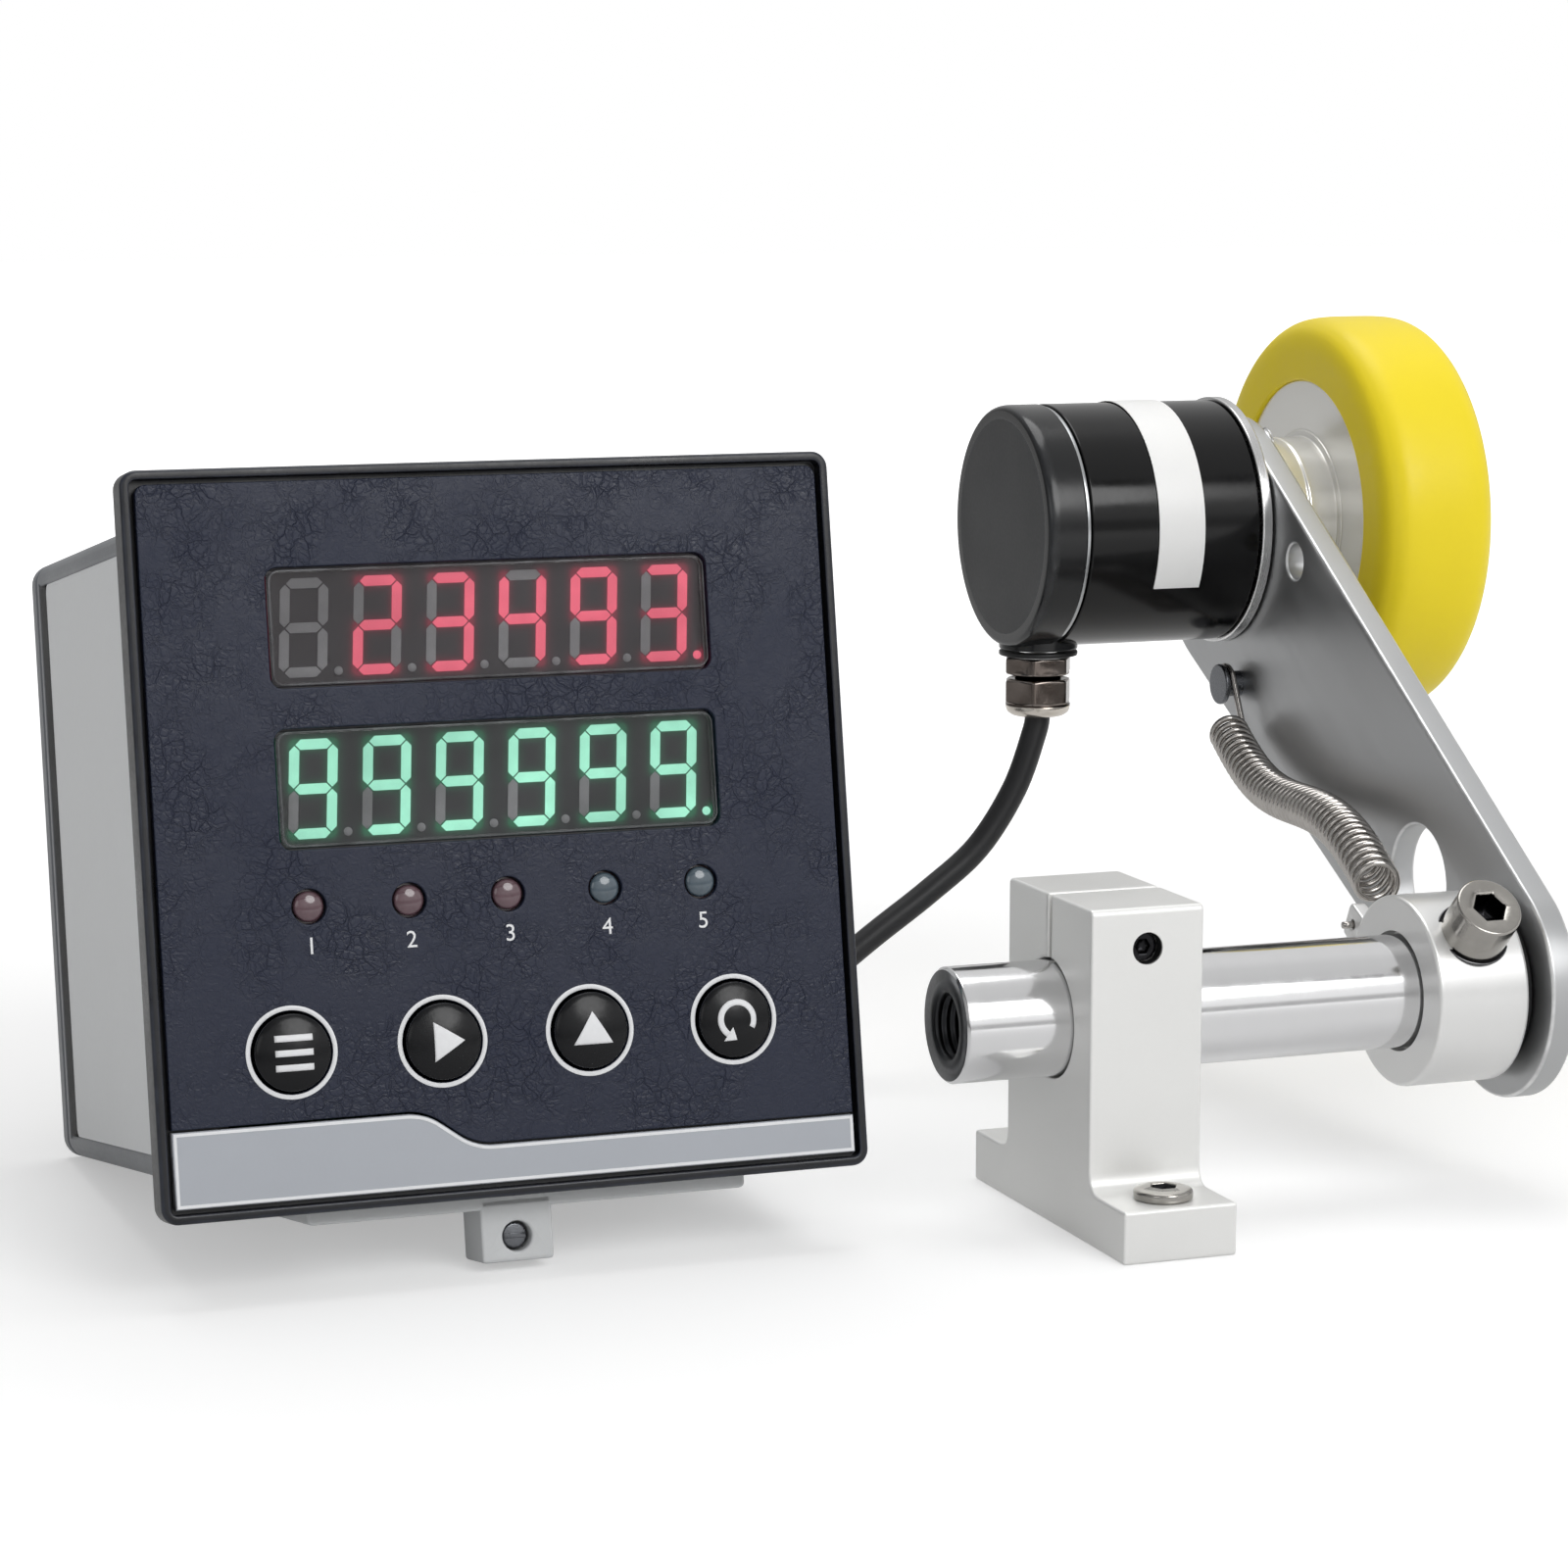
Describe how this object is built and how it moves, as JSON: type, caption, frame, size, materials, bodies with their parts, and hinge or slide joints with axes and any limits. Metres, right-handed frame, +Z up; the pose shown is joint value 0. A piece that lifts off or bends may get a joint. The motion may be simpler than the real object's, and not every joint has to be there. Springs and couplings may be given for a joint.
{
  "type": "digital counter",
  "caption": "Panel counter with digit windows, lamps and buttons, wired to a sprung-arm measuring wheel with a rotary encoder on a clamped shaft stand.",
  "frame": {"origin": "centre of the bounding box's underside, without the cord, on the surface that it stands on", "axes": "+X to the right along the shaft, from the counter to the wheel; -Y to the front, where the digits face; +Z up"},
  "size_m": [0.226, 0.1685, 0.1186],
  "materials": {
    "bezel": "satin moulded plastic",
    "overlay": "fine leather grain",
    "strip": "silver print",
    "lens_red": "smoked red lens",
    "lens_green": "smoked green lens",
    "digit_module": "moulded",
    "lamp_lens": "frosted lens",
    "button": "satin moulded",
    "case": "moulded, smoky grey",
    "side_label": "printed film",
    "board": "lacquered laminate",
    "transformer": "lacquered laminations",
    "relay": "moulded",
    "cover": "moulded",
    "terminal": "moulded",
    "bracket": "pale moulded plastic",
    "screw": "zinc plated",
    "black_screw": "black oxide",
    "block": "bright natural anodised",
    "shaft": "polished",
    "washer": "black",
    "arm": "satin anodised",
    "post": "black oxide",
    "spring": "dark nickel wire",
    "housing": "black body with a matte end face",
    "flange": "turned",
    "band": "blank white film",
    "bearing": "ground",
    "gland": "dark nickel",
    "code_disc": "etched",
    "hub": "turned and polished",
    "tyre": "yellow polyurethane",
    "cord": "round black jacket",
    "tie": "white nylon"
  },
  "bodies": {
    "counter_and_stand": {"front_bezel": "bezel", "front_overlay": "overlay", "silver_strip": "strip", "red_window": "lens_red", "green_window": "lens_green", "red_digits": "digit_module", "green_digits": "digit_module", "indicator_guide": "lamp_lens", "rear_case": "case", "side_label_left": "side_label", "side_label_right": "side_label", "display_board": "board", "main_board": "board", "power_transformer": "transformer", "relay_1": "relay", "relay_2": "relay", "rear_cover": "cover", "terminal_block_upper": "terminal", "terminal_block_lower": "terminal", "mounting_bracket": "bracket", "jack_screw": "screw", "foot_screw_front": "black_screw", "foot_screw_rear": "black_screw", "block_clamp_screw": "black_screw", "collar_screw": "black_screw", "pivot_screw": "black_screw", "mounting_block": "block", "spring_collar": "block", "support_shaft": "shaft", "pivot_washer": "washer", "tension_spring": "spring", "cord_lead": "cord", "cord_coil": "cord", "cord_tail": "cord", "cord_tie": "tie"},
    "arm": {"arm_plate": "arm", "spring_post": "post", "encoder_flange": "flange", "encoder_housing": "housing", "encoder_label": "band", "flange_screw_1": "flange", "flange_screw_2": "flange", "flange_screw_3": "flange", "bearing_front": "bearing", "bearing_rear": "bearing", "encoder_board": "board", "gland_washer": "washer", "gland_body": "gland", "gland_nut": "gland"},
    "wheel": {"encoder_shaft": "shaft", "code_disc": "code_disc", "wheel_hub": "hub", "hub_screw": "black_screw", "wheel_tyre": "tyre"},
    "key_set": {"button_set": "button"},
    "key_shift": {"button_shift": "button"},
    "key_up": {"button_up": "button"},
    "key_reset": {"button_reset": "button"}
  },
  "joints": [
    {"name": "press_set", "type": "slide", "parent": "counter_and_stand", "child": "key_set", "axis": [0, 0.9849, -0.173], "range_m": [0, 0.0006], "stiffness_N_per_m": 400},
    {"name": "press_shift", "type": "slide", "parent": "counter_and_stand", "child": "key_shift", "axis": [0, 0.9849, -0.173], "range_m": [0, 0.0006], "stiffness_N_per_m": 400},
    {"name": "press_up", "type": "slide", "parent": "counter_and_stand", "child": "key_up", "axis": [0, 0.9849, -0.173], "range_m": [0, 0.0006], "stiffness_N_per_m": 400},
    {"name": "press_reset", "type": "slide", "parent": "counter_and_stand", "child": "key_reset", "axis": [0, 0.9849, -0.173], "range_m": [0, 0.0006], "stiffness_N_per_m": 400},
    {"name": "arm_swing", "type": "hinge", "parent": "counter_and_stand", "child": "arm", "pos_m": [0.08198, -0.04859, 0.0285], "axis": [1, 0, 0], "range_deg": [-22, 18], "stiffness_Nm_per_rad": 0.6, "springref_deg": 17.19, "deforming": ["tension_spring", "cord_lead"]},
    {"name": "wheel_spin", "type": "hinge", "parent": "arm", "child": "wheel", "pos_m": [0.10347, 0.04224, 0.08674], "axis": [1, 0, 0], "continuous": true}
  ]
}
